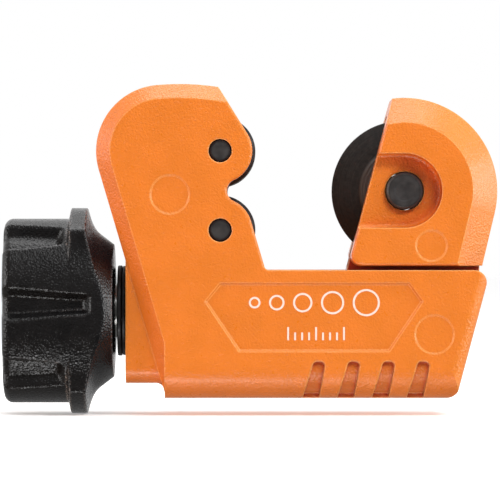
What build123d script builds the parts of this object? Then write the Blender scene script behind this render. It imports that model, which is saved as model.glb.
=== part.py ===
from build123d import *
import math
import os

# A small screw-feed tube cutter. Millimetres, +Z up. The front side faces -Y.
# Origin: the middle of the frame's flat underside, in the mid-plane between the two sides.
# The feed screw runs along X. Tube, rollers and cutting wheel all have their axes along Y.

os.makedirs("parts", exist_ok=True)

# ---------------------------------------------------------------- driving dimensions
half_width = 9.0             # half of the frame's thickness
beam_top = 16.64             # height of the beam's top face
wall_x = -18.85              # lower left wall of the frame
beam_toe_x = 18.9            # right end of the beam at the underside
end_slope = 14.9             # lean of the beam's right end, degrees from vertical
beam_corner = 1.7            # rounding of the beam's right end
beam_roll = 4.0              # rounding of the long lower edges
soft_edge = 0.4              # light rounding on cast edges
tiny = 0.01

jaw_slope = 16.5             # lean of the jaw's outer edge, degrees from vertical
jaw_centre = (-19.15, 32.05)
jaw_radius = 8.58
crown_angle = 5.0            # where the round shoulder passes into the crowned top edge
jaw_tip = (-11.9, 40.35)
jaw_chamfer = 1.85

roller_x = -11.65
roller_heights = (21.8, 32.05)
roller_names = ("lower_roller", "upper_roller")
roller_radius = 4.55
roller_half_length = 4.6
roller_groove = 1.0          # half width of the flare groove round the roller's middle
roller_bore = 1.41
roller_slot_half_width = 4.9
jaw_lobe_radius = 4.15       # mouth edge of the cheeks around each roller pin
notch_radius = 1.49
mouth_slope = 31.7           # lean of the mouth edge above the upper roller

roller_pin_radius = 1.36
knurl_radius = 1.53
knurl_count = 18
knurl_depth = 0.14
knurl_length = 3.6
pin_end = 8.95               # the roller pins stop just under the cheek faces
press = 0.02                 # radial interference of a pressed pin

screw_z = 11.3
journal_radius = 3.5
thread_radius = 2.95         # the thread is plain here, at its outer radius
screw_end_x = 18.9
snap_groove_radius = 2.8
snap_groove_x = (-16.2, -15.4)
stop_groove_radius = 2.3
stop_groove_x = (17.55, 18.25)

boss_face_x = -23.92
boss_half_width = 7.0
boss_bottom = 1.95
boss_top = 17.9
boss_fillet = 1.2
boss_roll = 2.2
flute_first_x = 1.2
flute_pitch = 4.49
flute_count = 4
flute_top = 4.9
flute_half_widths = (0.8, 1.15)  # at the top and at the foot
flute_depth = 0.7
flute_lean = 13.0            # each flute's foot is nearer the jaw than its top
flute_corner = 0.6
panel_top = 15.0
panel_shoulder = 12.6
panel_foot = 6.1
panel_corners = [
    (-13.65, panel_shoulder),
    (-11.7, panel_top),
    (12.8, panel_top),
    (14.55, panel_shoulder),
    (10.2, panel_foot),
    (-9.25, panel_foot),
]
panel_depth = 0.3
frame_marks = ((-18.15, 26.4), (16.0, 8.35))
frame_mark_radius = 2.56
carriage_mark = (15.6, 19.8)
carriage_mark_radius = 2.05
mark_depth = 0.12
mouth_foot_fillet = 0.6
boss_inner_x = -16.8
chamber_radius = 4.9
chamber_end_x = -9.5
running_gap = 0.05

channel_half_width = 5.6
channel_floor = 5.0
channel_roof = 14.2
channel_start_x = -10.0
neck_half_width = 3.6
neck_start_x = -5.9
slide_gap = 0.2

wheel_x = 12.2
wheel_z = 26.9
wheel_radius = 9.3
wheel_pin_radius = 2.4
wheel_slot_radius = 9.85
wheel_slot_half_width = 2.25
carriage_radius = 12.1       # outer edge of the carriage, concentric with the wheel
carriage_back_slope = 13.3   # lean of the carriage's outer edge below the round
carriage_front_foot_x = 4.9  # front edge of the carriage at the foot of the cheeks
carriage_front_slope = 14.95
carriage_top_z = 38.85       # tip of the carriage's front edge
cheek_foot = 17.2
cheek_corner = 1.3
carriage_chamfer = 3.3
stem_end_x = 22.1
block_end_x = 19.8
threaded_length = 8.0
counterbore_radius = 4.0
pocket_radius = 4.8
pocket_depth = 2.2
pocket_edge = 0.6

knob_left_x = -39.85
knob_dome = 0.45             # how far the knob's end face bulges
knob_radius = 12.1
knob_flat = 9.6              # half of the knob's thickness across its two flats
flange_radius = 13.5
flange_flat = 8.5
flange_x = (-31.98, -31.2, -29.1)
hub_x = -27.17
hub_radius = (9.88, 8.71)
hub_face_x = -25.62
hub_disc_x = -25.42
hub_disc_radius = 5.66
back_arc_middle = (-28.34, 11.3)  # x and radius halfway along the concave back
knob_corner = 0.8
knob_bore = 3.02
face_grooves = (6, 186)      # degrees up from the front direction
side_grooves = (56, 134, 236, 314)
face_groove_end_x = (-29.4, -28.1)
side_groove_end_x = (-32.9, -31.9)
groove_depth = 1.3
groove_floor_half = 1.0
groove_flare = 0.75          # how fast a groove widens outwards
head_recess_radius = 4.2

front = Plane.XZ             # drawn as X across and Z up, seen from the front
across = Plane.YZ            # drawn as Y across and Z up, seen from the right


# ---------------------------------------------------------------- small helpers
def polar(centre, radius, degrees):
    """The point at that angle on a circle."""
    angle = math.radians(degrees)
    return (centre[0] + radius * math.cos(angle), centre[1] + radius * math.sin(angle))


def lean(degrees, height):
    """How far a line that leans by so many degrees from vertical moves across over a height."""
    return height * math.tan(math.radians(degrees))


def side_plane(side, distance, x=0.0, z=0.0):
    """A plane on a cheek, facing out of it. side is -1 at the front and 1 at the back."""
    return Plane(origin=(x, side * distance, z), x_dir=(-side, 0, 0), z_dir=(0, side, 0))


def shaft_plane(x, z=screw_z):
    """A plane across the feed screw, facing +X."""
    return Plane(origin=(x, 0, z), x_dir=(0, 1, 0), z_dir=(1, 0, 0))


def edge_rounder(origin, along, corner, radius, length):
    """The waste outside a rounded edge. origin starts the round's axis, corner points to the edge."""
    plane = Plane(origin=origin, x_dir=corner, z_dir=along)
    with BuildPart() as waste:
        with BuildSketch(plane):
            with Locations(Rotation(0, 0, -45)):
                Rectangle(radius + 1, radius + 1, align=Align.MIN)
            Circle(radius, mode=Mode.SUBTRACT)
        extrude(amount=length)
    return waste.part


def round_bar(name, stretches):
    """A turned bar on the screw's axis, from (start x, end x, radius) stretches."""
    with BuildPart() as bar:
        for start, end, radius in stretches:
            with BuildSketch(shaft_plane(start)):
                Circle(radius)
            extrude(amount=end - start)
    bar.part.label = name
    return bar.part


def ring_on_screw(name, start, end, outer, inner, edge, gap_degrees=0):
    """A washer, or a ring with an opening, on the screw's axis."""
    with BuildPart() as ring:
        with BuildSketch(shaft_plane(start)):
            Circle(outer)
            Circle(inner, mode=Mode.SUBTRACT)
            if gap_degrees:
                half_gap = math.radians(gap_degrees / 2)
                reach = 2 * outer
                Polygon(
                    (0, 0),
                    (reach * math.sin(half_gap), -reach * math.cos(half_gap)),
                    (-reach * math.sin(half_gap), -reach * math.cos(half_gap)),
                    align=None,
                    mode=Mode.SUBTRACT,
                )
        extrude(amount=end - start)
        if edge:
            outside = ring.edges().filter_by(GeomType.CIRCLE).group_by(SortBy.RADIUS)[-1]
            fillet(outside, radius=edge)
    ring.part.label = name
    return ring.part


def ejector_mark(side, distance, x, z, radius):
    """The waste of a shallow round witness mark left by the casting die."""
    with BuildPart() as mark:
        with BuildSketch(side_plane(side, distance, x, z)):
            Circle(radius)
        extrude(amount=-mark_depth, taper=50)
    return mark.part


# ---------------------------------------------------------------- frame: shared points
slope_run = math.tan(math.radians(jaw_slope))
slope_start = polar(jaw_centre, jaw_radius, 180 + jaw_slope)
slope_foot = (wall_x, slope_start[1] - (wall_x - slope_start[0]) / slope_run)
crown_start = polar(jaw_centre, jaw_radius, 90 + crown_angle)
crown_tangent = polar((0, 0), 1, crown_angle)
lower_roller_at = (roller_x, roller_heights[0])
upper_roller_at = (roller_x, roller_heights[1])
half_pitch = (roller_heights[1] - roller_heights[0]) / 2
notch_reach = math.sqrt((jaw_lobe_radius + notch_radius) ** 2 - half_pitch**2)
notch_centre = (roller_x + notch_reach, roller_heights[0] + half_pitch)
lobe_to_notch = math.degrees(math.atan2(half_pitch, notch_reach))
lower_lobe_start = polar(lower_roller_at, jaw_lobe_radius, jaw_slope)
mouth_foot_x = lower_lobe_start[0] + lean(jaw_slope, lower_lobe_start[1] - beam_top)
crease_rise = jaw_chamfer / math.cos(math.radians(jaw_slope)) / slope_run
wall_top = slope_foot[1] + crease_rise
beam_end_x = beam_toe_x + lean(end_slope, beam_top)
far_right = beam_end_x + 10


def flute(side, x):
    """The waste of one slanted grip flute, which follows the rolled lower edge."""
    foot_x = x - lean(flute_lean, flute_top + 1)
    top_half, foot_half = flute_half_widths
    with BuildPart() as groove:
        with BuildSketch(front.offset(-side * (half_width - beam_roll))):
            Polygon(
                (x - top_half, flute_top),
                (foot_x - foot_half, -1),
                (foot_x + foot_half, -1),
                (x + top_half, flute_top),
                align=None,
            )
            fillet(vertices().group_by(Axis.Y)[-1], radius=flute_corner)
        extrude(amount=-side * (beam_roll + 1))
        with BuildSketch(across.offset(x - 5)):
            with Locations((0, flute_depth)):
                RectangleRounded(
                    2 * (half_width - flute_depth), 30, radius=beam_roll - 0.3,
                    align=(Align.CENTER, Align.MIN),
                )
        extrude(amount=10, mode=Mode.SUBTRACT)
    return groove.part


def name_panel(side):
    """The waste of the shallow six-sided panel on the beam, left without lettering."""
    with BuildPart() as panel:
        with BuildSketch(side_plane(side, half_width)):
            Polygon(*[(-side * x, z) for x, z in panel_corners], align=None)
        extrude(amount=-panel_depth, taper=40)
    return panel.part


end_along = (math.sin(math.radians(end_slope)), 0, math.cos(math.radians(end_slope)))
cast_waste = []
for side in (-1, 1):
    cast_waste += [flute(side, flute_first_x + flute_pitch * k) for k in range(flute_count)]
    cast_waste.append(name_panel(side))
    for x, z in frame_marks:
        cast_waste.append(ejector_mark(side, half_width, x, z, frame_mark_radius))
    cast_waste.append(
        edge_rounder(
            (wall_x - 1, side * (half_width - beam_roll), beam_roll),
            (1, 0, 0), (0, side, -1), beam_roll, 50,
        )
    )
    cast_waste.append(
        edge_rounder(
            (
                beam_toe_x - beam_corner * end_along[2] - 5 * end_along[0],
                side * (half_width - beam_corner),
                beam_corner * end_along[0] - 5 * end_along[2],
            ),
            end_along, (end_along[2], side, -end_along[0]), beam_corner, 30,
        )
    )
boss_waste = [
    edge_rounder(
        (boss_face_x - 1, side * (boss_half_width - boss_roll), boss_bottom + boss_roll),
        (1, 0, 0), (0, side, -1), boss_roll, wall_x - boss_face_x + 1,
    )
    for side in (-1, 1)
]

with BuildPart() as frame:
    # The thinner boss that carries the feed screw, with a fillet where it meets the wall.
    with BuildSketch(front):
        with BuildLine():
            boss_line = Polyline(
                (wall_x, boss_bottom - boss_fillet),
                (wall_x + 2, boss_bottom),
                (wall_x + 2, screw_z),
                (slope_start[0] + (slope_start[1] - boss_top) * slope_run, boss_top),
                (boss_face_x, boss_top),
                (boss_face_x, boss_bottom),
                (wall_x - boss_fillet, boss_bottom),
            )
            TangentArc([boss_line @ 1, boss_line @ 0], tangent=(1, 0))
        make_face()
    extrude(amount=boss_half_width, both=True)
    for waste in boss_waste:
        add(waste, mode=Mode.SUBTRACT)

    # The upright jaw: a slanted outer edge, a round shoulder, a crowned top, a scalloped mouth.
    with BuildSketch(front):
        with BuildLine():
            Line(slope_foot, slope_start)
            CenterArc(jaw_centre, jaw_radius, 90 + crown_angle, 90 + jaw_slope - crown_angle)
            TangentArc([crown_start, jaw_tip], tangent=crown_tangent)
            Line(jaw_tip, polar(upper_roller_at, jaw_lobe_radius, mouth_slope))
            CenterArc(upper_roller_at, jaw_lobe_radius, -lobe_to_notch, lobe_to_notch + mouth_slope)
            CenterArc(notch_centre, notch_radius, 180 - lobe_to_notch, 2 * lobe_to_notch)
            CenterArc(lower_roller_at, jaw_lobe_radius, jaw_slope, lobe_to_notch - jaw_slope)
            Polyline(
                lower_lobe_start,
                (mouth_foot_x, beam_top),
                (mouth_foot_x, slope_foot[1]),
                slope_foot,
            )
        make_face()
    jaw = extrude(amount=half_width, both=True, mode=Mode.PRIVATE)
    outer_edges = [
        edge
        for edge in jaw.edges()
        if edge.center().Z > slope_foot[1] + 1
        and (edge.center().X < jaw_centre[0] or edge.center().Z > jaw_tip[1])
        and abs(abs(edge.center().Y) - half_width) < tiny
    ]
    jaw = jaw.chamfer(jaw_chamfer, None, outer_edges)
    mouth_edges = [
        edge
        for edge in jaw.edges()
        if edge.center().X > roller_x
        and beam_top + 1 < edge.center().Z < jaw_tip[1] - 1
        and abs(abs(edge.center().Y) - half_width) < tiny
    ]
    jaw = jaw.fillet(soft_edge, mouth_edges)
    add(jaw)

    # The beam below the mouth, with its leaning right end.
    with BuildSketch(front):
        with BuildLine():
            FilletPolyline(
                (roller_x, beam_top),
                (beam_end_x, beam_top),
                (beam_toe_x, 0),
                (wall_x, 0),
                radius=beam_corner,
            )
            Polyline((wall_x, 0), (wall_x, wall_top), (roller_x, beam_top))
        make_face()
    extrude(amount=half_width, both=True)

    # A small fillet where the mouth's edge meets the beam.
    fillet_reach = mouth_foot_fillet / math.tan(math.radians(45 + jaw_slope / 2))
    with BuildSketch(front):
        with BuildLine():
            fillet_start = (mouth_foot_x + fillet_reach, beam_top)
            fillet_end = (
                mouth_foot_x - fillet_reach * math.sin(math.radians(jaw_slope)),
                beam_top + fillet_reach * math.cos(math.radians(jaw_slope)),
            )
            TangentArc([fillet_start, fillet_end], tangent=(-1, 0))
            Polyline(
                fillet_end,
                (mouth_foot_x - 1, beam_top),
                (mouth_foot_x - 1, beam_top - 1),
                (fillet_start[0], beam_top - 1),
                fillet_start,
            )
        make_face()
    extrude(amount=half_width, both=True)
    for waste in cast_waste:
        add(waste, mode=Mode.SUBTRACT)

    # The slot for the rollers, open to the mouth.
    slot_radius = roller_heights[0] - beam_top
    with BuildSketch(front):
        with Locations((roller_x, roller_heights[0] + half_pitch)):
            SlotCenterToCenter(2 * half_pitch, 2 * slot_radius, rotation=90)
            Rectangle(12, 2 * (half_pitch + slot_radius), align=(Align.MIN, Align.CENTER))
    extrude(amount=roller_slot_half_width, both=True, mode=Mode.SUBTRACT)

    # The stepped channel for the carriage, open at the top and at the right end.
    with BuildSketch(front):
        with Locations((channel_start_x, channel_floor)):
            Rectangle(far_right - channel_start_x, channel_roof - channel_floor, align=Align.MIN)
    extrude(amount=channel_half_width, both=True, mode=Mode.SUBTRACT)
    with BuildSketch(front):
        with Locations((neck_start_x, channel_floor)):
            Rectangle(far_right - neck_start_x, beam_top, align=Align.MIN)
    extrude(amount=neck_half_width, both=True, mode=Mode.SUBTRACT)

    # The screw's bearing in the boss, and the round chamber for its retaining ring.
    with BuildSketch(shaft_plane(boss_face_x - 1)):
        Circle(journal_radius + running_gap)
    extrude(amount=neck_start_x - boss_face_x + 2, mode=Mode.SUBTRACT)
    with BuildSketch(shaft_plane(boss_inner_x)):
        Circle(chamber_radius)
    extrude(amount=chamber_end_x - boss_inner_x, mode=Mode.SUBTRACT)

    # Pin holes: the knurled front end is pressed in, the plain back end slides in.
    for height in roller_heights:
        with BuildSketch(side_plane(-1, half_width + 1, roller_x, height)):
            Circle(knurl_radius - press)
        extrude(amount=-(half_width + 1), mode=Mode.SUBTRACT)
        with BuildSketch(side_plane(1, half_width + 1, roller_x, height)):
            Circle(roller_pin_radius)
        extrude(amount=-(half_width + 1), mode=Mode.SUBTRACT)

frame.part.label = "frame"
export_step(frame.part, "parts/frame.step")

# ---------------------------------------------------------------- rollers and their pins
def roller(name, height):
    """A roller with a flare groove round its middle."""
    with BuildPart() as part:
        with BuildSketch(across.offset(roller_x)):
            with BuildLine():
                Polyline(
                    (-roller_half_length, height + roller_bore),
                    (roller_half_length, height + roller_bore),
                    (roller_half_length, height + roller_radius - 0.3),
                    (roller_half_length - 0.3, height + roller_radius),
                    (roller_groove, height + roller_radius),
                    (roller_groove - 0.3, height + roller_radius - 0.9),
                    (0.3 - roller_groove, height + roller_radius - 0.9),
                    (-roller_groove, height + roller_radius),
                    (0.3 - roller_half_length, height + roller_radius),
                    (-roller_half_length, height + roller_radius - 0.3),
                    close=True,
                )
            make_face()
        revolve(axis=Axis((roller_x, 0, height), (0, 1, 0)))
    part.part.label = name
    return part.part


def roller_pin(name, height):
    """A plain pin with a knurled front end."""
    with BuildPart() as pin:
        with BuildSketch(side_plane(-1, pin_end, roller_x, height)):
            Circle(roller_pin_radius - press)
        extrude(amount=-2 * pin_end)
        chamfer(pin.edges().filter_by(GeomType.CIRCLE), length=0.15)
        with BuildSketch(side_plane(-1, pin_end - 0.15, roller_x, height)):
            Circle(knurl_radius)
            with PolarLocations(knurl_radius + knurl_depth / 3, knurl_count):
                Circle(knurl_depth, mode=Mode.SUBTRACT)
        extrude(amount=-knurl_length)
    pin.part.label = name
    return pin.part


for roller_name, height in zip(roller_names, roller_heights):
    export_step(roller(roller_name, height), f"parts/{roller_name}.step")
    export_step(roller_pin(f"{roller_name}_pin", height), f"parts/{roller_name}_pin.step")


# ---------------------------------------------------------------- carriage
wheel_at = (wheel_x, wheel_z)
back_round_start = polar(wheel_at, carriage_radius, -carriage_back_slope)
back_foot_x = back_round_start[0] - lean(carriage_back_slope, back_round_start[1] - cheek_foot)
front_tip_x = carriage_front_foot_x + lean(carriage_front_slope, carriage_top_z - cheek_foot)
front_tip_angle = math.degrees(math.acos((front_tip_x - wheel_x) / carriage_radius))
front_tip = polar(wheel_at, carriage_radius, front_tip_angle)


def pocket(side):
    """The waste of the U-shaped pocket round the wheel pin, open at the carriage's front edge."""
    with BuildPart() as recess:
        with BuildSketch(side_plane(side, half_width - pocket_depth, wheel_x, wheel_z)):
            Circle(pocket_radius)
            with Locations((-side * -10, 0)):
                Rectangle(20, 2 * pocket_radius)
        extrude(amount=pocket_depth + 1)
        floor_edges = recess.faces().sort_by(Axis.Y)[0 if side == 1 else -1].edges()
        fillet(floor_edges, radius=pocket_edge)
    return recess.part


with BuildPart() as carriage:
    # The two cheeks, still as one block, with the broad chamfer round the outside.
    with BuildSketch(front):
        with BuildLine():
            Line((carriage_front_foot_x, cheek_foot), front_tip)
            sweep = carriage_back_slope + front_tip_angle
            CenterArc(wheel_at, carriage_radius, -carriage_back_slope, sweep)
            Line(back_round_start, (back_foot_x, cheek_foot))
            Line((back_foot_x, cheek_foot), (carriage_front_foot_x, cheek_foot))
        make_face()
        fillet(vertices().sort_by(Axis.Y)[0:2].sort_by(Axis.X)[0], radius=cheek_corner)
    cheeks = extrude(amount=half_width, both=True, mode=Mode.PRIVATE)
    outer_edges = [
        edge
        for edge in cheeks.edges()
        if edge.center().X > wheel_x + 5
        and edge.center().Z > cheek_foot + 1
        and abs(abs(edge.center().Y) - half_width) < tiny
    ]
    cheeks = cheeks.chamfer(carriage_chamfer, None, outer_edges)
    front_edges = [
        edge
        for edge in cheeks.edges()
        if edge.center().X < wheel_x
        and abs(abs(edge.center().Y) - half_width) < tiny
    ]
    cheeks = cheeks.fillet(soft_edge, front_edges)
    add(cheeks)
    for side in (-1, 1):
        add(pocket(side), mode=Mode.SUBTRACT)
        mark = ejector_mark(side, half_width, *carriage_mark, carriage_mark_radius)
        add(mark, mode=Mode.SUBTRACT)

    # The stem through the beam's open top, and the block that holds the thread.
    block_start_x = carriage_front_foot_x - 0.15
    stem_foot = channel_floor + slide_gap
    stem_top = cheek_foot + 1
    slant_foot = beam_top - slide_gap
    with BuildSketch(front):
        Polygon(
            (block_start_x, stem_foot),
            (stem_end_x, stem_foot),
            (stem_end_x, stem_top),
            (block_start_x + lean(carriage_front_slope, stem_top - slant_foot), stem_top),
            (block_start_x, slant_foot),
            align=None,
        )
    extrude(amount=neck_half_width - slide_gap, both=True)
    with BuildSketch(front):
        with Locations((block_start_x, stem_foot)):
            Rectangle(
                block_end_x - block_start_x, channel_roof - channel_floor - 2 * slide_gap,
                align=Align.MIN,
            )
    extrude(amount=channel_half_width - slide_gap, both=True)
    with BuildSketch(front):
        with Locations((block_end_x, stem_foot)):
            Rectangle(far_right, channel_roof - stem_foot, align=Align.MIN)
    extrude(amount=half_width, both=True, mode=Mode.SUBTRACT)

    # The slot for the wheel, its pin hole, and the bore for the feed screw.
    with BuildSketch(front):
        with Locations(wheel_at):
            Circle(wheel_slot_radius)
            Rectangle(20, 2 * wheel_slot_radius, align=(Align.MAX, Align.CENTER))
    extrude(amount=wheel_slot_half_width, both=True, mode=Mode.SUBTRACT)
    with BuildSketch(front):
        with Locations(wheel_at):
            Circle(wheel_pin_radius + 0.12)
    extrude(amount=half_width + 1, both=True, mode=Mode.SUBTRACT)
    with BuildSketch(shaft_plane(block_start_x - 1)):
        Circle(thread_radius + running_gap)
    extrude(amount=far_right, mode=Mode.SUBTRACT)
    with BuildSketch(shaft_plane(block_start_x + threaded_length)):
        Circle(counterbore_radius)
    extrude(amount=far_right, mode=Mode.SUBTRACT)

carriage.part.label = "carriage"
export_step(carriage.part, "parts/carriage.step")


# ---------------------------------------------------------------- cutting wheel, pin and clip
wheel_hub_radius = 5.7
wheel_hub_half = 2.05
wheel_web_half = 1.25
wheel_edge_half = 0.1
wheel_bore = wheel_pin_radius + running_gap

with BuildPart() as cutting_wheel:
    with BuildSketch(across.offset(wheel_x)):
        with BuildLine():
            Polyline(
                (-wheel_hub_half, wheel_z + wheel_bore),
                (wheel_hub_half, wheel_z + wheel_bore),
                (wheel_hub_half, wheel_z + wheel_hub_radius - 1.1),
                (wheel_hub_half - 0.25, wheel_z + wheel_hub_radius - 0.8),
                (wheel_hub_half - 0.25, wheel_z + wheel_hub_radius - 0.3),
                (wheel_web_half, wheel_z + wheel_hub_radius + 0.1),
                (wheel_edge_half, wheel_z + wheel_radius),
                (-wheel_edge_half, wheel_z + wheel_radius),
                (-wheel_web_half, wheel_z + wheel_hub_radius + 0.1),
                (0.25 - wheel_hub_half, wheel_z + wheel_hub_radius - 0.3),
                (0.25 - wheel_hub_half, wheel_z + wheel_hub_radius - 0.8),
                (-wheel_hub_half, wheel_z + wheel_hub_radius - 1.1),
                close=True,
            )
        make_face()
    revolve(axis=Axis((wheel_x, 0, wheel_z), (0, 1, 0)))
cutting_wheel.part.label = "cutting_wheel"
export_step(cutting_wheel.part, "parts/cutting_wheel.step")

pin_front_y = 7.9            # both ends stand a little proud of the pocket floors
clip_groove_y = (6.95, 7.45)
clip_groove_radius = 1.85
clip_rim = (3.9, 3.0)        # outer and inner radius of the clip's rim
clip_prong = (1.4, 1.3)      # length and width of each prong
clip_mouth = (3.6, 5.2)      # width and height cut out of the rim below the pin

with BuildPart() as wheel_pin:
    with BuildSketch(side_plane(-1, pin_front_y, wheel_x, wheel_z)):
        Circle(wheel_pin_radius)
    extrude(amount=-2 * pin_front_y)
    chamfer(wheel_pin.edges().filter_by(GeomType.CIRCLE), length=0.25)
    with BuildSketch(side_plane(1, clip_groove_y[0], wheel_x, wheel_z)):
        Circle(wheel_pin_radius + 1)
        Circle(clip_groove_radius, mode=Mode.SUBTRACT)
    extrude(amount=clip_groove_y[1] - clip_groove_y[0], mode=Mode.SUBTRACT)
wheel_pin.part.label = "wheel_pin"
export_step(wheel_pin.part, "parts/wheel_pin.step")

with BuildPart() as wheel_pin_clip:
    with BuildSketch(side_plane(1, clip_groove_y[0] + 0.05, wheel_x, wheel_z)):
        Circle(clip_rim[0])
        Circle(clip_rim[1], mode=Mode.SUBTRACT)
        for angle in (-30, 90, 210):
            with Locations(Rotation(0, 0, angle)):
                with Locations((clip_rim[1] - 0.4, 0)):
                    Rectangle(*clip_prong)
        Circle(clip_groove_radius + 0.03, mode=Mode.SUBTRACT)
        with Locations((0, -clip_rim[0] - 0.1)):
            Rectangle(*clip_mouth, mode=Mode.SUBTRACT)
    extrude(amount=clip_groove_y[1] - clip_groove_y[0] - 0.1)
wheel_pin_clip.part.label = "wheel_pin_clip"
export_step(wheel_pin_clip.part, "parts/wheel_pin_clip.step")


# ---------------------------------------------------------------- feed screw and what is on it
knob_seat_x = -37.0
head_recess_x = -37.9
end_screw_radius = 1.5
end_screw_length = 7.5
screw_head_radius = 3.0
screw_head_height = 1.5
screw_head_round = 0.7
cross_slot = (2.9, 0.75)     # length and width of the head's cross recess
cross_depth = 1.0
end_washer_radius = 3.7
journal_end_x = -14.9

feed_screw = round_bar(
    "feed_screw",
    [
        (knob_seat_x, hub_disc_x, knob_bore - 0.02),
        (hub_disc_x, snap_groove_x[0], journal_radius),
        (snap_groove_x[0], snap_groove_x[1], snap_groove_radius),
        (snap_groove_x[1], journal_end_x, journal_radius),
        (journal_end_x, stop_groove_x[0], thread_radius),
        (stop_groove_x[0], stop_groove_x[1], stop_groove_radius),
        (stop_groove_x[1], screw_end_x, thread_radius),
    ],
)
with BuildPart() as tapped_screw:
    add(feed_screw)
    chamfer(tapped_screw.edges().filter_by(GeomType.CIRCLE).sort_by(Axis.X)[-1], length=0.5)
    with BuildSketch(shaft_plane(knob_seat_x)):
        Circle(end_screw_radius + 0.03)
    extrude(amount=8, mode=Mode.SUBTRACT)
tapped_screw.part.label = "feed_screw"
export_step(tapped_screw.part, "parts/feed_screw.step")

washer_bore = journal_radius + 0.15
snap_bore = snap_groove_radius + 0.05
stop_bore = stop_groove_radius + 0.05
ring_opening = 70            # degrees left out of a retaining ring
# Each ring: name, left face, right face, outer radius, inner radius, edge rounding.
for ring in (
    ring_on_screw("thrust_washer", -25.1, -24.52, 5.92, washer_bore, 0.2),
    ring_on_screw("friction_washer", -24.46, -24.02, 5.85, washer_bore, 0.12),
    ring_on_screw("inner_washer", -16.75, -16.27, 4.6, washer_bore, 0.1),
    ring_on_screw("retaining_ring", -16.15, -15.45, 4.4, snap_bore, 0, ring_opening),
    ring_on_screw("end_stop_ring", 17.62, 18.18, 3.7, stop_bore, 0, ring_opening),
):
    export_step(ring, f"parts/{ring.label}.step")


# ---------------------------------------------------------------- knob
screw_axis = Axis((0, 0, screw_z), (1, 0, 0))


def from_axis(x, radius):
    """A point on the front plane, given by its distance from the screw's axis."""
    return (x, screw_z + radius)


def groove_section(angle, x, base):
    """One groove's outline across the knob, from its floor at base outwards."""
    radians = math.radians(angle)
    outward = Vector(0, -math.cos(radians), math.sin(radians))
    plane = Plane(origin=(x, 0, screw_z), x_dir=outward, z_dir=(1, 0, 0))
    reach = base + 4
    spread = groove_floor_half + (reach - base) * groove_flare
    with BuildSketch(plane) as outline:
        Polygon(
            (base, -groove_floor_half),
            (reach, -spread),
            (reach, spread),
            (base, groove_floor_half),
            align=None,
        )
    return outline.sketch


def knob_groove(angle, outside, end_x):
    """The waste of one lengthwise groove, with a ramp out to the surface at its right end."""
    floor = outside - groove_depth
    with BuildPart() as groove:
        add(groove_section(angle, knob_left_x - 2, floor))
        add(groove_section(angle, end_x[0], floor))
        loft(ruled=True)
        add(groove_section(angle, end_x[0], floor))
        add(groove_section(angle, end_x[1], outside))
        loft(ruled=True)
    return groove.part


with BuildPart() as knob_flange:
    with BuildSketch(front):
        with BuildLine():
            ThreePointArc(
                from_axis(flange_x[2], flange_radius),
                from_axis(*back_arc_middle),
                from_axis(hub_x, hub_radius[0]),
            )
            Polyline(
                from_axis(hub_x, hub_radius[0]),
                from_axis(hub_x, 0),
                from_axis(flange_x[0], 0),
                from_axis(flange_x[0], knob_radius),
                from_axis(flange_x[1], flange_radius),
                from_axis(flange_x[2], flange_radius),
            )
        make_face()
    revolve(axis=screw_axis)
    Box(200, 2 * flange_flat, 200, mode=Mode.INTERSECT)

with BuildPart() as knob:
    with BuildSketch(front):
        with BuildLine():
            ThreePointArc(
                from_axis(-28.6, knob_radius - 0.1),
                from_axis(*back_arc_middle),
                from_axis(hub_x, hub_radius[0]),
            )
            Polyline(
                from_axis(hub_x, hub_radius[0]),
                from_axis(hub_face_x, hub_radius[1]),
                from_axis(hub_face_x, hub_disc_radius),
                from_axis(hub_disc_x, hub_disc_radius),
                from_axis(hub_disc_x, 0),
                from_axis(knob_left_x - knob_dome, 0),
            )
            ThreePointArc(
                from_axis(knob_left_x - knob_dome, 0),
                from_axis(knob_left_x - 0.7 * knob_dome, 6),
                from_axis(knob_left_x, knob_radius - knob_corner),
            )
            Polyline(
                from_axis(knob_left_x, knob_radius - knob_corner),
                from_axis(knob_left_x + knob_corner, knob_radius),
                from_axis(-28.7, knob_radius),
                from_axis(-28.6, knob_radius - 0.1),
            )
        make_face()
    revolve(axis=screw_axis)
    Box(200, 2 * knob_flat, 200, mode=Mode.INTERSECT)
    add(knob_flange.part)
    for angle in face_grooves:
        add(knob_groove(angle, knob_flat, face_groove_end_x), mode=Mode.SUBTRACT)
    for angle in side_grooves:
        add(knob_groove(angle, knob_radius, side_groove_end_x), mode=Mode.SUBTRACT)

    # The bore for the screw's end, the hole for the end screw and the recess for its head.
    with BuildSketch(shaft_plane(knob_seat_x)):
        Circle(knob_bore)
    extrude(amount=20, mode=Mode.SUBTRACT)
    with BuildSketch(shaft_plane(knob_seat_x + 1)):
        Circle(end_screw_radius + 0.1)
    extrude(amount=-6, mode=Mode.SUBTRACT)
    with BuildSketch(shaft_plane(head_recess_x)):
        Circle(head_recess_radius)
    extrude(amount=-5, mode=Mode.SUBTRACT)
knob.part.label = "knob"
export_step(knob.part, "parts/knob.step")

head_seat_x = head_recess_x - 0.62
head_end_x = head_seat_x - screw_head_height
with BuildPart() as knob_screw:
    with BuildSketch(shaft_plane(head_seat_x)):
        Circle(screw_head_radius)
    extrude(amount=-screw_head_height)
    head_rim = knob_screw.edges().filter_by(GeomType.CIRCLE).sort_by(Axis.X)[0]
    fillet(head_rim, radius=screw_head_round)
    with BuildSketch(shaft_plane(head_seat_x)):
        Circle(end_screw_radius)
    extrude(amount=knob_seat_x - head_recess_x + end_screw_length)
    with BuildSketch(shaft_plane(head_end_x - 1)):
        Rectangle(*cross_slot)
        Rectangle(*reversed(cross_slot))
    extrude(amount=cross_depth + 1, mode=Mode.SUBTRACT)
knob_screw.part.label = "knob_screw"
export_step(knob_screw.part, "parts/knob_screw.step")

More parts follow.
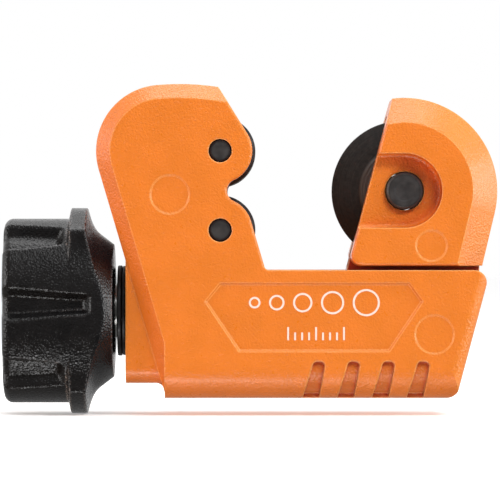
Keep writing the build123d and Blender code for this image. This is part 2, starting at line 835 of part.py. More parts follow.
knob_screw_washer = ring_on_screw(
    "knob_screw_washer", head_seat_x + 0.04, head_recess_x - 0.04,
    end_washer_radius, end_screw_radius + 0.15, 0.1,
)
export_step(knob_screw_washer, "parts/knob_screw_washer.step")
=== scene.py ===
import math

import bmesh
import bpy
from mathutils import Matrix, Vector


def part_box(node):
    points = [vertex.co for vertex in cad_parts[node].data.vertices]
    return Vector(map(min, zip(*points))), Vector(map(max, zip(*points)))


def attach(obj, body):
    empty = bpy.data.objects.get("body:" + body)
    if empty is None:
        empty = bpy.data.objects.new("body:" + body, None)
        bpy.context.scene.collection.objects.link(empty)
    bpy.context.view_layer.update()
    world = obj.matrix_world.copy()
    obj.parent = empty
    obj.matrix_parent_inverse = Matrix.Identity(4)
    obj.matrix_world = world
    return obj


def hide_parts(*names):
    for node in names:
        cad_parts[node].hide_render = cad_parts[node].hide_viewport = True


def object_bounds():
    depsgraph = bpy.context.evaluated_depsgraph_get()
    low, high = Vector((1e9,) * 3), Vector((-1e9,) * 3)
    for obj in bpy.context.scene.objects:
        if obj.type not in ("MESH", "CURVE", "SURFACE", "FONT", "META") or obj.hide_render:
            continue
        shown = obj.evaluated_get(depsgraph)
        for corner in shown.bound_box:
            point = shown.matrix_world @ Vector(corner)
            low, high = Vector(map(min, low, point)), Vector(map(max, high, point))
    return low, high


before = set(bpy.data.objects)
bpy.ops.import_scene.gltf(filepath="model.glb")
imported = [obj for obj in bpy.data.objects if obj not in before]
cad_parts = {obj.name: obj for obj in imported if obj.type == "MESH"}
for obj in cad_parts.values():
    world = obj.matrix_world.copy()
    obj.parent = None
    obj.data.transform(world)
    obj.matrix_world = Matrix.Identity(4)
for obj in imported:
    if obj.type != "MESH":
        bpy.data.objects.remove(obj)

# The looks of a small screw-feed tube cutter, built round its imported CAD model.
# Lengths are in metres. Sizes of turned parts come from the boxes of their CAD nodes.

MM = 0.001
cad_low, cad_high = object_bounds()

# The height of the feed screw's axis, and the depth of the panel's floor.
SCREW_Z = 11.3 * MM
PANEL_FLOOR_Y = -8.7 * MM

# Turned parts: bores, the wheel's hub and web, and the smallest radius that a lathe ring gets.
WHEEL_BORE = 2.45 * MM
HUB_RADIUS = 5.7 * MM
WEB_HALF = 1.25 * MM
ROLLER_BORE = 1.41 * MM
FEED_BORE = 3.65 * MM
KNOB_SCREW_BORE = 1.65 * MM
AXIS_GAP = 0.01 * MM

# The wheel pin's groove for its clip, from the pin's middle.
CLIP_GROOVE = (6.95 * MM, 7.45 * MM)
CLIP_GROOVE_RADIUS = 1.85 * MM

# The feed screw: a knob seat, a journal with a ring groove, then the thread.
KNOB_SEAT_END = -25.42 * MM
RING_GROOVE = (-16.2 * MM, -15.4 * MM)
THREAD_START = -14.9 * MM
KNOB_SEAT_RADIUS = 3.0 * MM
JOURNAL_RADIUS = 3.5 * MM
RING_GROOVE_RADIUS = 2.8 * MM
THREAD_PITCH = 1.0 * MM
THREAD_CREST = 2.95 * MM
THREAD_ROOT = 2.38 * MM
STOP_GROOVE = (17.55 * MM, 18.25 * MM)
STOP_GROOVE_RADIUS = 2.3 * MM

# The knob, in mm: its ends, half its size from front to back and from top to bottom, its two ears,
# the cone and concave sweep at the frame's end, and its left end.
KNOB_LEFT = -39.85
KNOB_RIGHT = -25.62
KNOB_HALF_THICK = 9.55
KNOB_HALF_TALL = 12.05
KNOB_SQUARENESS = 2.6
EAR_REACH = 13.45
EAR_HALF_WIDTH = 8.45
EAR_FACE = (-32.15, -31.1)
EAR_BLEND = 0.9
UNDER_GRIP = 7.0
CONE_RADIUS = 8.68
CONE_SLOPE = 0.76
SWEEP_START = -27.17
SWEEP_RATE = 0.32
BACK_BLEND = 0.3
END_FILLET = 1.1
END_DOME = 0.38
RECESS_EDGE = 4.45
RECESS_CHAMFER = 0.2

# Each groove's direction, in degrees up from the front, and where its end ramp starts and ends.
FACE_RAMP = (-29.5, -28.2)
SIDE_RAMP = (-32.9, -31.7)
GROOVES = {6: FACE_RAMP, 56: SIDE_RAMP, 134: SIDE_RAMP, 186: FACE_RAMP, 236: SIDE_RAMP, 314: SIDE_RAMP}
GROOVE_DEPTH = 1.35
GROOVE_HALF_WIDTH = 2.35
GROOVE_NARROWING = 0.9
GROOVE_TAPER = (-39.8, -29.0)

# The knob's hollow side as (x, radius): its hub face, its bore, and the recess for its screw.
KNOB_INSIDE = (
    (-25.62, 5.9),
    (-25.5, 5.66),
    (-25.42, 5.55),
    (-25.42, 3.05),
    (-25.6, 3.02),
    (-36.98, 3.02),
    (-37.0, 3.0),
    (-37.0, 1.62),
    (-37.9, 1.62),
    (-37.9, 4.0),
    (-38.0, 4.2),
    (-39.6, 4.2),
)

# The print on the panel: rings of rising radius in a row, and a row of ticks under them.
RING_RADII = (0.75 * MM, 1.0 * MM, 1.25 * MM, 1.5 * MM, 1.75 * MM)
RING_WALL = 0.26 * MM
TICK_BOTTOM = 7.6 * MM


# ---------------------------------------------------------------- material helpers
class Material:
    """A Principled material with a few short ways to add procedural detail to it."""

    def __init__(self, name, colour, roughness, metallic=0.0):
        """colour and roughness are the shader's own values, which count where nothing is linked."""
        self.made = bpy.data.materials.new(name)
        self.made.use_nodes = True
        self.tree = self.made.node_tree
        self.shader = self.tree.nodes["Principled BSDF"]
        self.shader.inputs["Base Color"].default_value = (*colour, 1)
        self.shader.inputs["Roughness"].default_value = roughness
        self.shader.inputs["Metallic"].default_value = metallic
        self.place = self.node("ShaderNodeTexCoord").outputs["Object"]

    def node(self, kind, **settings):
        made = self.tree.nodes.new(kind)
        for key, value in settings.items():
            setattr(made, key, value)
        return made

    def link(self, output, target):
        self.tree.links.new(output, target)

    def noise(self, size, detail=2.0, roughness=0.5):
        """Noise with features of about that size, in metres."""
        made = self.node("ShaderNodeTexNoise")
        made.inputs["Scale"].default_value = 1 / size
        made.inputs["Detail"].default_value = detail
        made.inputs["Roughness"].default_value = roughness
        self.link(self.place, made.inputs["Vector"])
        return made.outputs["Fac"]

    def grains(self, size):
        """Rounded cells of about that size: 0 at a cell's middle, rising to its border."""
        made = self.node("ShaderNodeTexVoronoi", feature="SMOOTH_F1")
        made.inputs["Scale"].default_value = 1 / size
        made.inputs["Smoothness"].default_value = 0.6
        self.link(self.place, made.inputs["Vector"])
        return made.outputs["Distance"]

    def ramp(self, value, low, high, out_low=0.0, out_high=1.0):
        """Maps a value from low..high to out_low..out_high."""
        made = self.node("ShaderNodeMapRange")
        made.inputs["From Min"].default_value = low
        made.inputs["From Max"].default_value = high
        made.inputs["To Min"].default_value = out_low
        made.inputs["To Max"].default_value = out_high
        self.link(value, made.inputs["Value"])
        return made.outputs["Result"]

    def times(self, value, factor):
        """A socket's value times a factor, which may be a number or another socket."""
        made = self.node("ShaderNodeMath", operation="MULTIPLY")
        self.link(value, made.inputs[0])
        if isinstance(factor, float):
            made.inputs[1].default_value = factor
        else:
            self.link(factor, made.inputs[1])
        return made.outputs["Value"]

    def mix(self, share, a, b):
        """Mixes two colours. Either may be a socket or three numbers. The node's colours are 6, 7 and 2."""
        made = self.node("ShaderNodeMix", data_type="RGBA")
        self.link(share, made.inputs["Factor"])
        for socket, value in ((made.inputs[6], a), (made.inputs[7], b)):
            if isinstance(value, tuple):
                socket.default_value = (*value, 1)
            else:
                self.link(value, socket)
        return made.outputs[2]

    def bump(self, height, depth, strength=1.0, below=None):
        """Bump whose full height is depth metres. below is a bump that this one adds to."""
        made = self.node("ShaderNodeBump")
        made.inputs["Strength"].default_value = strength
        made.inputs["Distance"].default_value = depth
        self.link(height, made.inputs["Height"])
        if below is not None:
            self.link(below, made.inputs["Normal"])
        return made.outputs["Normal"]

    def colour_from(self, output):
        self.link(output, self.shader.inputs["Base Color"])

    def roughness_from(self, output):
        self.link(output, self.shader.inputs["Roughness"])

    def normal_from(self, output):
        self.link(output, self.shader.inputs["Normal"])

    def soft_edges(self, radius):
        """A normal that rounds every edge by about that radius."""
        rounded = self.node("ShaderNodeBevel", samples=8)
        rounded.inputs["Radius"].default_value = radius
        return rounded.outputs["Normal"]

    def painted_shade_share(self, reach):
        """1 deep in corners and pockets, and 0 on open faces: the mask for shade painted into recesses."""
        nearby = self.node("ShaderNodeAmbientOcclusion", samples=8)
        nearby.inputs["Distance"].default_value = reach
        return self.ramp(nearby.outputs["AO"], 0.72, 0.34)

    def edge_share(self, radius):
        """1 on edges and 0 on flat stretches, from how far a rounded normal turns away."""
        plain = self.node("ShaderNodeNewGeometry").outputs["Normal"]
        dot = self.node("ShaderNodeVectorMath", operation="DOT_PRODUCT")
        self.link(self.soft_edges(radius), dot.inputs[0])
        self.link(plain, dot.inputs[1])
        return self.ramp(dot.outputs["Value"], 0.995, 0.93)


def orange_paint():
    """Powder coat on a casting: orange peel; paler on edges, partly thin paint and partly a painted
    highlight; painted shade, dark red, in recesses.
    """
    paint = Material("orange_paint", (0.84, 0.215, 0.018), 0.36)
    mottle = paint.ramp(paint.noise(4 * MM, 3), 0.35, 0.65)
    body = paint.mix(mottle, (0.69, 0.194, 0.017), (0.74, 0.208, 0.021))
    # Painted shade: corners, pockets and recesses are darkened towards a deep red.
    body = paint.mix(paint.painted_shade_share(4.5 * MM), body, (0.48, 0.038, 0.004))
    # Paler orange along the edges: partly thin paint, partly a painted highlight where the edges catch
    # light.
    paler_and_highlight = paint.times(paint.edge_share(0.26 * MM), 0.75)
    paint.colour_from(paint.mix(paler_and_highlight, body, (0.98, 0.46, 0.14)))
    paint.roughness_from(paint.ramp(paint.noise(0.9 * MM), 0.3, 0.7, 0.27, 0.38))
    waves = paint.bump(paint.noise(1.6 * MM, 2), 0.05 * MM, 0.35, paint.soft_edges(0.42 * MM))
    peel = paint.bump(paint.noise(0.28 * MM, 2), 0.13 * MM, 1.0, waves)
    paint.normal_from(peel)
    paint.shader.inputs["Coat Weight"].default_value = 0.28
    paint.shader.inputs["Coat Roughness"].default_value = 0.22
    return paint.made


def black_coating():
    """Glossy black coat over a fine pebbled grain, with pale specks along its edges: a painted highlight
    where the edges catch light.
    """
    coat = Material("black_coating", (0.005, 0.005, 0.0055), 0.3)
    cloud = coat.ramp(coat.noise(3 * MM, 3), 0.35, 0.65)
    dust = coat.ramp(coat.noise(0.16 * MM, 2), 0.64, 0.78)
    body = coat.mix(cloud, (0.004, 0.004, 0.0044), (0.007, 0.007, 0.0076))
    dusty = coat.mix(dust, body, (0.02, 0.02, 0.021))
    # Painted highlight: pale specks along the edges, where a glossy edge would catch light.
    specks = coat.ramp(coat.noise(0.22 * MM, 2), 0.42, 0.6)
    paler_and_highlight = coat.times(coat.edge_share(0.5 * MM), specks)
    coat.colour_from(coat.mix(paler_and_highlight, dusty, (0.2, 0.2, 0.21)))
    coat.roughness_from(coat.ramp(coat.noise(0.6 * MM), 0.3, 0.7, 0.17, 0.3))
    coat.shader.inputs["Specular IOR Level"].default_value = 0.42
    swells = coat.bump(coat.noise(1.1 * MM, 2), 0.06 * MM, 0.5, coat.soft_edges(0.3 * MM))
    pebbled = coat.bump(coat.grains(0.25 * MM), 0.07 * MM, 0.8, swells)
    coat.normal_from(coat.bump(coat.noise(0.17 * MM, 2), 0.03 * MM, 0.7, pebbled))
    return coat.made


def black_oxide(name="black_oxide", lightness=1.0, metallic=0.7, edge=0.13, edge_width=0.15 * MM):
    """Blackened steel: dark and semi-matte. lightness scales its colour, and edge is the colour of its
    edges: pale by default, and near black on the pins, where it is a painted shadow of the gap round each
    pin.
    """
    oxide = Material(name, (0.03, 0.03, 0.033), 0.42, metallic)
    cloud = oxide.ramp(oxide.noise(1.2 * MM, 4), 0.3, 0.7)
    darker = tuple(lightness * part for part in (0.022, 0.022, 0.023))
    paler = tuple(lightness * part for part in (0.046, 0.046, 0.048))
    body = oxide.mix(cloud, darker, paler)
    oxide.colour_from(oxide.mix(oxide.edge_share(edge_width), body, (edge, edge, edge)))
    oxide.roughness_from(oxide.ramp(oxide.noise(0.3 * MM, 3), 0.3, 0.7, 0.34, 0.55))
    soft = oxide.soft_edges(0.12 * MM)
    oxide.normal_from(oxide.bump(oxide.noise(0.2 * MM, 3), 0.008 * MM, 0.6, soft))
    return oxide.made


def turned_steel(name, centre, hub_radius):
    """Dark steel turned on a lathe: fine rings round an axis along Y through centre, a paler hub, and a
    painted highlight along its edges.
    """
    dark = (0.012, 0.0105, 0.01)
    pale = (0.036, 0.033, 0.031)
    # The pale colour of the hub, and of the painted highlight on the edges.
    paler_and_highlight = (0.11, 0.1, 0.095)
    steel = Material(name, dark, 0.45, 0.35)
    offset = steel.node("ShaderNodeVectorMath", operation="SUBTRACT")
    steel.link(steel.place, offset.inputs[0])
    offset.inputs[1].default_value = centre
    flat = steel.node("ShaderNodeVectorMath", operation="MULTIPLY")
    steel.link(offset.outputs["Vector"], flat.inputs[0])
    flat.inputs[1].default_value = (1, 0, 1)
    length = steel.node("ShaderNodeVectorMath", operation="LENGTH")
    steel.link(flat.outputs["Vector"], length.inputs[0])
    rings = steel.node("ShaderNodeTexNoise", noise_dimensions="1D")
    rings.inputs["Scale"].default_value = 1 / (0.16 * MM)
    rings.inputs["Detail"].default_value = 3
    steel.link(length.outputs["Value"], rings.inputs["W"])
    cloud = steel.noise(0.5 * MM, 5, 0.7)
    blend = steel.times(steel.ramp(rings.outputs["Fac"], 0.2, 0.8, 0.6, 1.0), cloud)
    # Painted highlight: the edges are lightened towards the pale colour, by up to 0.6.
    edge_highlight = steel.times(steel.edge_share(0.12 * MM), 0.6)
    body = steel.mix(steel.ramp(blend, 0.25, 0.6), dark, pale)
    hub_share = steel.ramp(length.outputs["Value"], hub_radius + 0.1 * MM, hub_radius - 0.05 * MM, 0, 0.6)
    body = steel.mix(hub_share, body, paler_and_highlight)
    steel.colour_from(steel.mix(edge_highlight, body, paler_and_highlight))
    steel.roughness_from(steel.ramp(cloud, 0.3, 0.7, 0.42, 0.6))
    grooves = steel.bump(rings.outputs["Fac"], 0.004 * MM, 0.5, steel.soft_edges(0.1 * MM))
    steel.normal_from(steel.bump(steel.noise(0.15 * MM, 3), 0.012 * MM, 0.7, grooves))
    return steel.made


def plated_steel():
    """Zinc-plated steel with a little oil and handling."""
    plate = Material("plated_steel", (0.5, 0.5, 0.48), 0.3, 1.0)
    cloud = plate.ramp(plate.noise(0.8 * MM, 4), 0.3, 0.7)
    body = plate.mix(cloud, (0.42, 0.41, 0.39), (0.6, 0.6, 0.58))
    plate.colour_from(body)
    plate.roughness_from(plate.ramp(plate.noise(0.3 * MM, 3), 0.3, 0.7, 0.24, 0.42))
    plate.normal_from(plate.bump(plate.noise(0.18 * MM, 3), 0.005 * MM, 0.6))
    return plate.made


def pale_print():
    """Pad-printed ink, very slightly uneven."""
    ink = Material("pale_print", (0.95, 0.84, 0.80), 0.5)
    cloud = ink.ramp(ink.noise(0.35 * MM, 3), 0.3, 0.7)
    ink.colour_from(ink.mix(cloud, (0.84, 0.66, 0.6), (0.93, 0.8, 0.76)))
    ink.normal_from(ink.bump(ink.noise(0.2 * MM, 2), 0.006 * MM, 0.5))
    return ink.made


def studio_floor():
    """A pale, even floor with the faintest cloudiness."""
    floor = Material("studio_floor", (0.93, 0.93, 0.93), 0.8)
    cloud = floor.ramp(floor.noise(0.4, 2), 0.3, 0.7)
    floor.colour_from(floor.mix(cloud, (0.92, 0.92, 0.92), (0.94, 0.94, 0.94)))
    floor.shader.inputs["Emission Color"].default_value = (1, 1, 1, 1)
    floor.shader.inputs["Emission Strength"].default_value = 0.3
    return floor.made


# ---------------------------------------------------------------- mesh helpers
def finish_mesh(name, mesh_data, material, body, node=None, sharp_degrees=35):
    """Links a new piece, shades it smooth except at sharp edges, and ties it to its CAD body."""
    mesh_data.materials.append(material)
    for polygon in mesh_data.polygons:
        polygon.use_smooth = True
    mesh_data.set_sharp_from_angle(angle=math.radians(sharp_degrees))
    piece = bpy.data.objects.new(name, mesh_data)
    bpy.context.scene.collection.objects.link(piece)
    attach(piece, body)
    if node:
        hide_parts(node)


def rounded(corners, radius, steps=4):
    """A closed outline of (along, out) pairs with every corner rounded that is not on the axis."""
    points = []
    count = len(corners)
    for i, corner in enumerate(corners):
        here = Vector(corner)
        before = Vector(corners[i - 1]) - here
        after = Vector(corners[(i + 1) % count]) - here
        if corner[1] == 0 or before.angle(after) > math.radians(175):
            points.append(here)
            continue
        reach = radius / math.tan(before.angle(after) / 2)
        reach = min(reach, before.length * 0.45, after.length * 0.45)
        start = here + before.normalized() * reach
        end = here + after.normalized() * reach
        for k in range(steps + 1):
            t = k / steps
            points.append((1 - t) ** 2 * start + 2 * t * (1 - t) * here + t**2 * end)
    return points


def join_rows(made, first, second):
    """Adds a band of faces between two closed rows of vertices."""
    count = len(first)
    for k in range(count):
        j = (k + 1) % count
        made.faces.new((first[k], first[j], second[j], second[k]))


def ring_mesh(name, rings):
    """A mesh from rings of points, each joined to the next and the last to the first."""
    made = bmesh.new()
    rows = [[made.verts.new(point) for point in ring] for ring in rings]
    for i, row in enumerate(rows):
        join_rows(made, row, rows[(i + 1) % len(rows)])
    bmesh.ops.recalc_face_normals(made, faces=made.faces)
    mesh_data = bpy.data.meshes.new(name)
    made.to_mesh(mesh_data)
    made.free()
    return mesh_data


def lathe(name, outline, centre, along_axis, segments=160):
    """Turns a closed outline of (along, out) pairs round an axis through centre. along_axis is X or Y."""
    rings = []
    for along, out in outline:
        ring = []
        for k in range(segments):
            angle = 2 * math.pi * k / segments
            side, up = out * math.cos(angle), out * math.sin(angle)
            if along_axis == "Y":
                ring.append((centre[0] + side, centre[1] + along, centre[2] + up))
            else:
                ring.append((centre[0] + along, centre[1] + side, centre[2] + up))
        rings.append(ring)
    return ring_mesh(name, rings)


def node_centre(node):
    low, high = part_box(node)
    return (low + high) / 2


def node_radius(node):
    """The outer radius of a turned node with its axis along X or Y, from its height."""
    low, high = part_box(node)
    return (high.z - low.z) / 2


def node_half_width(node):
    """Half of a node's size along Y."""
    low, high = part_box(node)
    return (high.y - low.y) / 2


def both_sides(side):
    """A whole outline from its half on the +along side."""
    return side + [(-along, out) for along, out in reversed(side)]


# ---------------------------------------------------------------- carried CAD nodes
def dress(node, material):
    """Gives a carried CAD node its material."""
    for material_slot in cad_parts[node].material_slots:
        material_slot.link = "OBJECT"
        material_slot.material = material


# ---------------------------------------------------------------- turned pieces
def make_wheel(steel):
    """The cutting wheel: a ground bevel down to the edge, and a stepped hub with turned rings."""
    radius = node_radius("cutting_wheel")
    half = node_half_width("cutting_wheel")
    side = [
        (half, WHEEL_BORE),
        (half, 4.55 * MM),
        (half - 0.12 * MM, 4.7 * MM),
        (half - 0.12 * MM, 5.05 * MM),
        (half - 0.25 * MM, 5.15 * MM),
        (half - 0.25 * MM, HUB_RADIUS - 0.25 * MM),
        (WEB_HALF, HUB_RADIUS + 0.15 * MM),
        (WEB_HALF - 0.25 * MM, HUB_RADIUS + 1.15 * MM),
        (0.1 * MM, radius - 0.05 * MM),
        (0.03 * MM, radius),
    ]
    outline = rounded(both_sides(side), 0.06 * MM, 2)
    data = lathe("cutting_wheel_turned", outline, node_centre("cutting_wheel"), "Y", 256)
    finish_mesh("cutting_wheel_turned", data, steel, "cutting_wheel", "cutting_wheel")


def make_roller(node, steel):
    """A guide roller with a flare groove round its middle and broken edges."""
    half = node_half_width(node)
    radius = node_radius(node)
    side = [
        (half, ROLLER_BORE),
        (half, ROLLER_BORE + 0.35 * MM),
        (half - 0.1 * MM, ROLLER_BORE + 0.45 * MM),
        (half - 0.1 * MM, radius - 0.75 * MM),
        (half, radius - 0.65 * MM),
        (half, radius - 0.3 * MM),
        (half - 0.3 * MM, radius),
        (1.0 * MM, radius),
        (0.7 * MM, radius - 0.9 * MM),
    ]
    outline = rounded(both_sides(side), 0.12 * MM, 3)
    data = lathe(node + "_turned", outline, node_centre(node), "Y", 192)
    finish_mesh(node + "_turned", data, steel, node, node)


def make_wheel_pin(steel):
    """The wheel's pin, with a chamfered, slightly dished end and the clip groove at the back."""
    half = node_half_width("wheel_pin")
    radius = node_radius("wheel_pin")
    groove_start, groove_end = CLIP_GROOVE
    outline = [
        (-half + 0.05 * MM, 0),
        (-half + 0.05 * MM, radius * 0.52),
        (-half, radius * 0.6),
        (-half, radius - 0.32 * MM),
        (-half + 0.3 * MM, radius),
        (groove_start, radius),
        (groove_start, CLIP_GROOVE_RADIUS),
        (groove_end, CLIP_GROOVE_RADIUS),
        (groove_end, radius),
        (half - 0.3 * MM, radius),
        (half, radius - 0.3 * MM),
        (half, 0),
    ]
    drawn = [(along, max(out, AXIS_GAP)) for along, out in rounded(outline, 0.08 * MM, 3)]
    data = lathe("wheel_pin_turned", drawn, node_centre("wheel_pin"), "Y", 128)
    finish_mesh("wheel_pin_turned", data, steel, "carriage", "wheel_pin")


def make_washer(node, bore, material):
    """A stamped washer with rounded edges."""
    low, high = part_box(node)
    half = (high.x - low.x) / 2
    radius = node_radius(node)
    corners = [(-half, bore), (half, bore), (half, radius), (-half, radius)]
    data = lathe(node + "_stamped", rounded(corners, half * 0.55, 4), node_centre(node), "X", 160)
    finish_mesh(node + "_stamped", data, material, "feed", node)


def thread_radius(x, angle, end):
    """The thread's radius at x along the screw and an angle round it. The screw ends at x = end."""
    phase = (x / THREAD_PITCH - angle / (2 * math.pi)) % 1
    flank = min(1, max(0, (abs(phase - 0.5) * 2 - 0.08) / 0.8))
    fade = min(1, (x - THREAD_START) / THREAD_PITCH, (end - x + 0.2 * MM) / THREAD_PITCH)
    out = THREAD_CREST - (THREAD_CREST - THREAD_ROOT) * flank * fade
    out = min(out, THREAD_CREST - max(0, x - (end - 0.5 * MM)))
    if STOP_GROOVE[0] < x < STOP_GROOVE[1]:
        out = min(out, STOP_GROOVE_RADIUS)
    return out


def make_feed_screw(steel, steps_per_turn=14, sides=56):
    """The feed screw: smooth journal and knob seat, then a right-hand thread of 1 mm pitch."""
    low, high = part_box("feed_screw")
    angles = [2 * math.pi * k / sides for k in range(sides)]

    def ring(x, radii):
        return [(x, r * math.cos(a), SCREW_Z + r * math.sin(a)) for r, a in zip(radii, angles)]

    rings = []
    for start, end, radius in (
        (low.x, KNOB_SEAT_END, KNOB_SEAT_RADIUS),
        (KNOB_SEAT_END, RING_GROOVE[0], JOURNAL_RADIUS),
        (*RING_GROOVE, RING_GROOVE_RADIUS),
        (RING_GROOVE[1], THREAD_START, JOURNAL_RADIUS),
    ):
        rings += [ring(start, [radius] * sides), ring(end, [radius] * sides)]
    length = high.x - THREAD_START
    count = int(length / THREAD_PITCH * steps_per_turn)
    for i in range(count + 1):
        x = THREAD_START + length * i / count
        rings.append(ring(x, [thread_radius(x, a, high.x) for a in angles]))
    for x in (high.x, low.x):
        rings.append(ring(x, [AXIS_GAP] * sides))
    data = ring_mesh("feed_screw_threaded", rings)
    finish_mesh("feed_screw_threaded", data, steel, "feed", "feed_screw", 60)


# ---------------------------------------------------------------- knob
def smooth_less(a, b, blend):
    """The lesser of two lengths, blended where they are close."""
    share = max(blend - abs(a - b), 0) / blend
    return min(a, b) - share * share * blend / 4


def smooth_more(a, b, blend):
    return -smooth_less(-a, -b, blend)


def eased(value, start, end):
    """0 before start, 1 after end, and a smooth rise between them."""
    t = min(1, max(0, (value - start) / (end - start)))
    return t * t * (3 - 2 * t)


def groove_cut(x, angle, body):
    """How deep the nearest of the six lengthwise grooves is there. They narrow towards the frame."""
    turn = 2 * math.pi
    away = {at: abs((angle - math.radians(at) + math.pi) % turn - math.pi) for at in GROOVES}
    nearest = min(away, key=away.get)
    half_open = GROOVE_HALF_WIDTH - GROOVE_NARROWING * eased(x, *GROOVE_TAPER)
    depth = GROOVE_DEPTH * (1 - eased(x, *GROOVES[nearest]))
    return depth * (1 - eased(away[nearest] * body, half_open / 2, half_open))


def knob_radius_at(x, angle):
    """The knob's outer surface, in mm. The angle is up from the front direction."""
    front = abs(math.cos(angle))
    up = abs(math.sin(angle))
    power = KNOB_SQUARENESS
    body = ((front / KNOB_HALF_THICK) ** power + (up / KNOB_HALF_TALL) ** power) ** (-1 / power)
    cut = groove_cut(x, angle, body)
    body -= cut
    # The flange behind the grip, which its own flats leave as an ear above and below.
    ear = min(EAR_REACH, EAR_HALF_WIDTH / max(front, 0.01)) - cut
    rise = eased(x, *EAR_FACE)
    ear = ear * rise + UNDER_GRIP * (1 - rise)
    outer = smooth_more(body, ear, EAR_BLEND) if ear > body - EAR_BLEND else body
    outer = min(outer, EAR_REACH + 0.03)
    # The cone at the frame's end, its concave sweep up to the flange, and the rounded left end.
    back = CONE_RADIUS + CONE_SLOPE * (KNOB_RIGHT - x) + SWEEP_RATE * max(0, SWEEP_START - x) ** 3
    outer = smooth_less(outer, back, BACK_BLEND)
    into_corner = min(1, max(0, 1 - (x - KNOB_LEFT) / END_FILLET))
    return outer - END_FILLET * (1 - math.sqrt(1 - into_corner**2))


def make_knob(coating, turns=384, lengthwise=150):
    """The grip knob: a flattened round body with soft grooves, two ears and a concave back."""
    first = KNOB_LEFT + 0.004
    angles = [2 * math.pi * k / turns for k in range(turns)]

    def ring(x, radii):
        return [
            (x[k] * MM, -radii[k] * math.cos(a) * MM, SCREW_Z + radii[k] * math.sin(a) * MM)
            for k, a in enumerate(angles)
        ]

    rings = []
    for i in range(lengthwise + 1):
        x = max(first, KNOB_LEFT + (KNOB_RIGHT - KNOB_LEFT) * i / lengthwise)
        rings.append(ring([x] * turns, [knob_radius_at(x, a) for a in angles]))
    for x, radius in KNOB_INSIDE:
        rings.append(ring([x] * turns, [radius] * turns))
    # The slightly domed end face, from the broken edge of the screw's recess out to the rim.
    rim = [knob_radius_at(first, a) for a in angles]

    def domed(radii):
        return [KNOB_LEFT - END_DOME * (1 - (radius / edge) ** 2) for radius, edge in zip(radii, rim)]

    inset = [x + RECESS_CHAMFER / 2 for x in domed([RECESS_EDGE] * turns)]
    rings.append(ring(inset, [RECESS_EDGE - RECESS_CHAMFER] * turns))
    for share in (0.03, 0.08, 0.3, 0.6, 0.85, 0.97):
        radii = [RECESS_EDGE + (edge - RECESS_EDGE) * share for edge in rim]
        rings.append(ring(domed(radii), radii))
    data = ring_mesh("knob_moulded", rings)
    finish_mesh("knob_moulded", data, coating, "feed", "knob", 50)


# ---------------------------------------------------------------- print on the panel
def flat_shape(made, outline, hole=None):
    """Adds a thin raised shape on the panel floor. Points are (x, z)."""
    rows = [outline] + ([hole] if hole else [])
    layers = []
    for y in (PANEL_FLOOR_Y - 0.03 * MM, PANEL_FLOOR_Y + 0.02 * MM):
        layers.append([[made.verts.new((x, y, z)) for x, z in row] for row in rows])
    for near, far in zip(*layers):
        join_rows(made, near, far)
    for layer in layers:
        if hole:
            join_rows(made, *layer)
        else:
            made.faces.new(layer[0])


def circle(x, z, radius, count=64):
    turn = 2 * math.pi / count
    return [(x + radius * math.cos(turn * k), z + radius * math.sin(turn * k)) for k in range(count)]


def make_panel_print(ink):
    """A plain printed scale: a row of tube rings of rising size over a short row of ticks."""
    made = bmesh.new()
    x = -7.2 * MM
    for radius in RING_RADII:
        flat_shape(made, circle(x, 12.45 * MM, radius), circle(x, 12.45 * MM, radius - RING_WALL))
        x += 2 * radius + 1.35 * MM
    for k in range(9):
        top = TICK_BOTTOM + (1.7 if k % 4 == 0 else 1.0) * MM
        left = (-3.0 + 0.9 * k) * MM
        right = left + 0.24 * MM
        flat_shape(made, [(left, TICK_BOTTOM), (right, TICK_BOTTOM), (right, top), (left, top)])
    bmesh.ops.recalc_face_normals(made, faces=made.faces)
    data = bpy.data.meshes.new("panel_print")
    made.to_mesh(data)
    made.free()
    finish_mesh("panel_print", data, ink, "frame")


# ---------------------------------------------------------------- studio
def make_floor(material):
    """A wide pale floor under the object's lowest point."""
    made = bmesh.new()
    bmesh.ops.create_grid(made, x_segments=8, y_segments=8, size=2.5)
    bmesh.ops.translate(made, verts=made.verts, vec=(0, 0, cad_low.z - 0.05 * MM))
    data = bpy.data.meshes.new("floor")
    made.to_mesh(data)
    made.free()
    data.materials.append(material)
    floor = bpy.data.objects.new("floor", data)
    bpy.context.scene.collection.objects.link(floor)
    floor.visible_diffuse = False
    floor.visible_glossy = False
    floor.visible_shadow = False


def soft_light(name, place, aim, size, power, colour=(1, 1, 1)):
    """A large soft area light at a place, aimed at a point."""
    light = bpy.data.lights.new(name, "AREA")
    light.shape = "RECTANGLE"
    light.size, light.size_y = size
    light.energy = power
    light.color = colour
    lamp = bpy.data.objects.new(name, light)
    lamp.location = place
    lamp.rotation_euler = (Vector(aim) - Vector(place)).to_track_quat("-Z", "Y").to_euler()
    bpy.context.scene.collection.objects.link(lamp)
    return lamp


def make_surround():
    """A plain white sweep behind the object and overhead, fading to dark below and in front."""
    world = bpy.data.worlds.new("surround")
    world.use_nodes = True
    tree = world.node_tree
    direction = tree.nodes.new("ShaderNodeTexCoord").outputs["Generated"]
    split = tree.nodes.new("ShaderNodeSeparateXYZ")
    tree.links.new(direction, split.inputs["Vector"])
    shares = []
    for axis, low, high, dark in (("Z", -0.25, -0.02, 0.3), ("Y", -0.75, 0.35, 0.2)):
        share = tree.nodes.new("ShaderNodeMapRange")
        share.interpolation_type = "SMOOTHSTEP"
        share.inputs["From Min"].default_value = low
        share.inputs["From Max"].default_value = high
        share.inputs["To Min"].default_value = dark
        tree.links.new(split.outputs[axis], share.inputs["Value"])
        shares.append(share.outputs["Result"])
    both = tree.nodes.new("ShaderNodeMath")
    both.operation = "MULTIPLY"
    tree.links.new(shares[0], both.inputs[0])
    tree.links.new(shares[1], both.inputs[1])
    background = tree.nodes["Background"]
    background.inputs["Color"].default_value = (1, 1, 1, 1)
    tree.links.new(both.outputs["Value"], background.inputs["Strength"])
    bpy.context.scene.world = world


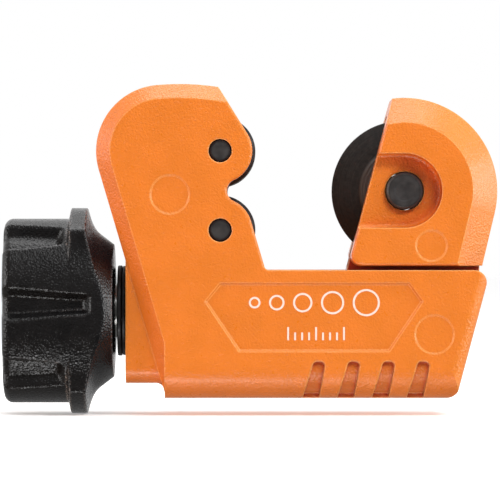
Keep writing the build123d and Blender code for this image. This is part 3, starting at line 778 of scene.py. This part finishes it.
def make_lights():
    """Soft lights overhead, high in front and at both sides, matt fills, and a glint from below."""
    middle = (cad_low + cad_high) / 2
    soft_light("overhead", (0.02, 0.02, 0.5), middle, (0.5, 0.3), 1.25)
    soft_light("front_glint", (0.1, -0.5, 0.46), middle, (0.2, 0.12), 0.45)
    soft_light("right_side", (0.5, -0.12, 0.08), middle, (0.35, 0.3), 1.9)
    left_side = soft_light("left_side", (-0.5, -0.16, 0.1), middle, (0.3, 0.3), 1.05)
    left_side.visible_diffuse = False
    left_fill = soft_light("left_fill", (-0.5, -0.2, 0.05), middle, (0.3, 0.3), 1.9, (1, 0.54, 0.3))
    front_fill = soft_light("front_fill", (0.26, -0.42, 0.4), middle, (0.2, 0.16), 2.3)
    low_fill = soft_light("low_fill", (-0.05, -0.26, -0.4), middle, (0.4, 0.3), 1.6, (1, 0.76, 0.6))
    for matt_only in (left_fill, front_fill, low_fill):
        matt_only.visible_glossy = False
    low_glint = soft_light("low_glint", (-0.1, -0.35, -0.4), middle, (0.2, 0.12), 0.8)
    low_glint.visible_diffuse = False
    make_surround()


def make_camera():
    """Straight at the front side, as a long lens sees it from half a metre away."""
    data = bpy.data.cameras.new("camera")
    data.sensor_width = 36
    data.lens = 277
    data.clip_start = 0.01
    camera = bpy.data.objects.new("camera", data)
    camera.location = (-7.8 * MM, -505 * MM, 19.24 * MM)
    camera.rotation_euler = (math.radians(90), 0, 0)
    bpy.context.scene.collection.objects.link(camera)
    bpy.context.scene.camera = camera
    bpy.context.scene.view_settings.view_transform = "Standard"


def build():
    paint = orange_paint()
    coating = black_coating()
    oxide = black_oxide()
    wheel_steel = turned_steel("wheel_steel", node_centre("cutting_wheel"), HUB_RADIUS)
    plate = plated_steel()
    dress("frame", paint)
    dress("carriage", paint)
    # The pins' rims are near black over 0.6 mm: a painted shadow of the gap round each pin in its hole.
    pin_steel = black_oxide("pin_steel", 1.25, 0.3, 0.002, 0.6 * MM)
    for node in ("knob_screw", "wheel_pin_clip"):
        dress(node, oxide)
    for node in ("upper_roller_pin", "lower_roller_pin"):
        dress(node, pin_steel)
    for node in ("retaining_ring", "end_stop_ring"):
        dress(node, plate)
    make_knob(coating)
    make_wheel(wheel_steel)
    make_roller("upper_roller", oxide)
    make_roller("lower_roller", oxide)
    make_wheel_pin(pin_steel)
    make_washer("thrust_washer", FEED_BORE, oxide)
    make_washer("friction_washer", FEED_BORE, oxide)
    make_washer("knob_screw_washer", KNOB_SCREW_BORE, oxide)
    make_washer("inner_washer", FEED_BORE, plate)
    make_feed_screw(plate)
    make_panel_print(pale_print())
    make_floor(studio_floor())
    make_lights()
    make_camera()


build()
